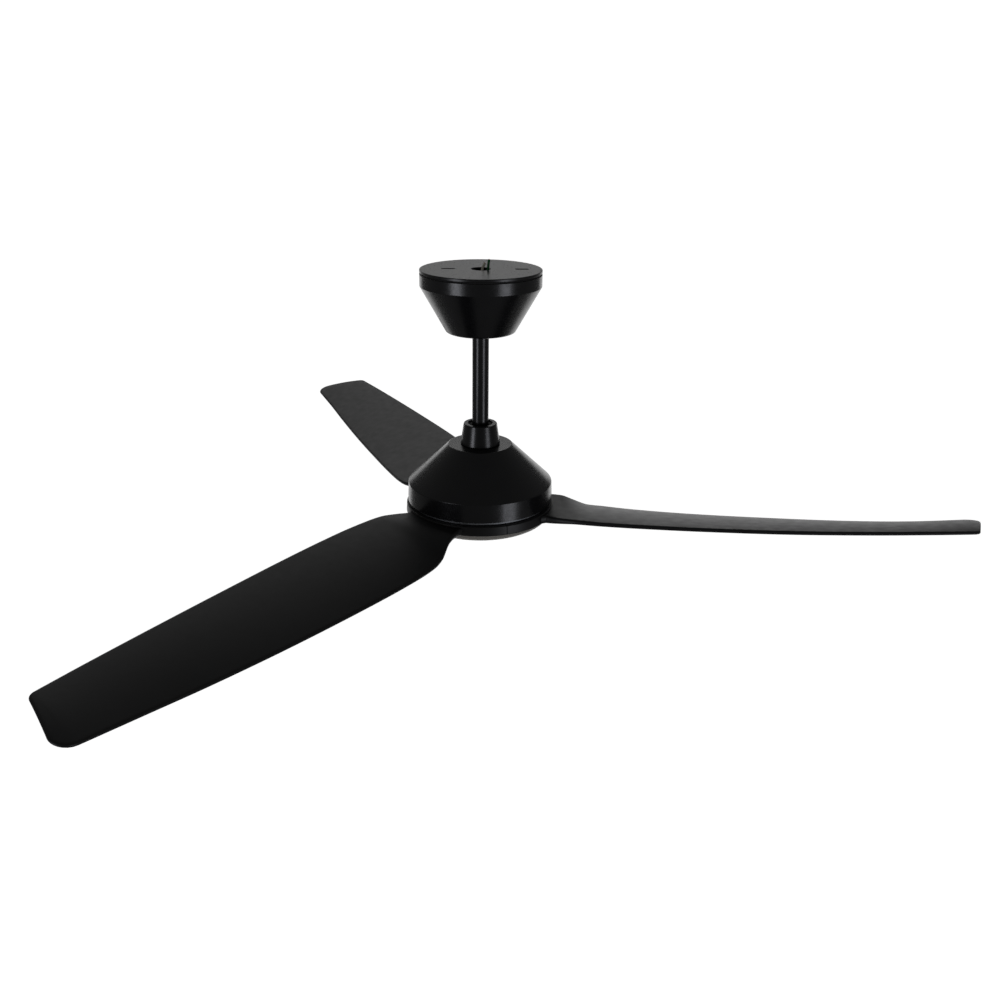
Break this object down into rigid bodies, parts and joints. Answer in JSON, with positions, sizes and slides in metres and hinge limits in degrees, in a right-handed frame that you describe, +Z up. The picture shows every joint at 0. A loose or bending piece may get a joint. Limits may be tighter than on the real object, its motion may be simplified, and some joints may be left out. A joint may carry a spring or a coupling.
{
  "type": "ceiling fan with light",
  "caption": "Ceiling fan: ceiling canopy, ball-hung downrod, cone-shaped motor housing, moulded pitched blades on a turning ring and a fixed shallow opal LED light underneath.",
  "frame": {"origin": "on the fan's axis in the ceiling plane, at the centre of the ceiling plate's top face", "axes": "+Z up out of the ceiling plate, along the downrod; +X along the plate's two fixing slots; +Y completes the right-handed frame"},
  "size_m": [1.0733, 1.1556, 0.3579],
  "materials": {
    "black_paint": "satin black powder coat",
    "plate_paint": "semi-gloss black",
    "black_plastic": "fine-grained moulded black",
    "rubber": "matt black",
    "zinc_steel": "zinc plated",
    "dark_steel": "black oxide",
    "cast_aluminium": "as cast",
    "nylon": "moulded nylon",
    "copper": "enamelled copper wire",
    "lamination": "stacked electrical steel",
    "ferrite": "sintered ferrite",
    "circuit_board": "solder mask",
    "white_board": "white solder mask on aluminium",
    "white_plastic": "moulded white",
    "opal": "opal acrylic, unlit",
    "green_wire": "PVC insulation",
    "cream_wire": "PVC insulation"
  },
  "bodies": {
    "ceiling_mount": {"ceiling_plate": "plate_paint", "hanger_bracket": "zinc_steel", "bracket_nut_1": "zinc_steel", "bracket_nut_2": "zinc_steel", "canopy_seal": "rubber", "canopy_shell": "black_paint", "canopy_screw_1": "dark_steel", "canopy_screw_2": "dark_steel", "terminal_block": "white_plastic", "earth_wire": "green_wire", "supply_wire": "cream_wire", "remote_receiver": "black_plastic"},
    "hanging_unit": {"hanger_ball": "nylon", "ball_pin": "zinc_steel", "downrod": "black_paint", "rod_coupling": "cast_aluminium", "coupling_pin": "zinc_steel", "pin_clip": "dark_steel", "set_screw_1": "dark_steel", "set_screw_2": "dark_steel", "motor_housing": "black_paint", "housing_screw_1": "dark_steel", "housing_screw_2": "dark_steel", "housing_screw_3": "dark_steel", "control_board": "circuit_board", "motor_shaft": "dark_steel", "stator_core": "lamination", "stator_winding": "copper", "upper_inner_race": "zinc_steel", "lower_inner_race": "zinc_steel", "light_pan": "cast_aluminium", "shaft_nut": "zinc_steel", "led_driver": "white_plastic", "led_board": "white_board", "led_screw_1": "zinc_steel", "led_screw_2": "zinc_steel", "led_screw_3": "zinc_steel", "light_diffuser": "opal"},
    "sliding_cover": {"coupling_cover": "black_paint", "cover_gasket": "rubber"},
    "rotor": {"upper_outer_race": "zinc_steel", "lower_outer_race": "zinc_steel", "rotor_bell": "cast_aluminium", "rotor_base": "cast_aluminium", "magnet_ring": "ferrite", "bell_screw_1": "dark_steel", "bell_screw_2": "dark_steel", "bell_screw_3": "dark_steel", "blade_1": "black_plastic", "blade_2": "black_plastic", "blade_3": "black_plastic", "blade_screw_1": "dark_steel", "blade_screw_2": "dark_steel", "blade_screw_3": "dark_steel", "blade_screw_4": "dark_steel", "blade_screw_5": "dark_steel", "blade_screw_6": "dark_steel"}
  },
  "joints": [
    {"name": "hanger_tilt", "type": "hinge", "parent": "ceiling_mount", "child": "hanging_unit", "pos_m": [0, 0, -0.045], "axis": [1, 0, 0], "range_deg": [-12, 12]},
    {"name": "rotor_spin", "type": "hinge", "parent": "hanging_unit", "child": "rotor", "pos_m": [0, 0, -0.28], "axis": [0, 0, 1], "continuous": true},
    {"name": "cover_slide", "type": "slide", "parent": "hanging_unit", "child": "sliding_cover", "axis": [0, 0, 1], "range_m": [0, 0.1]}
  ]
}
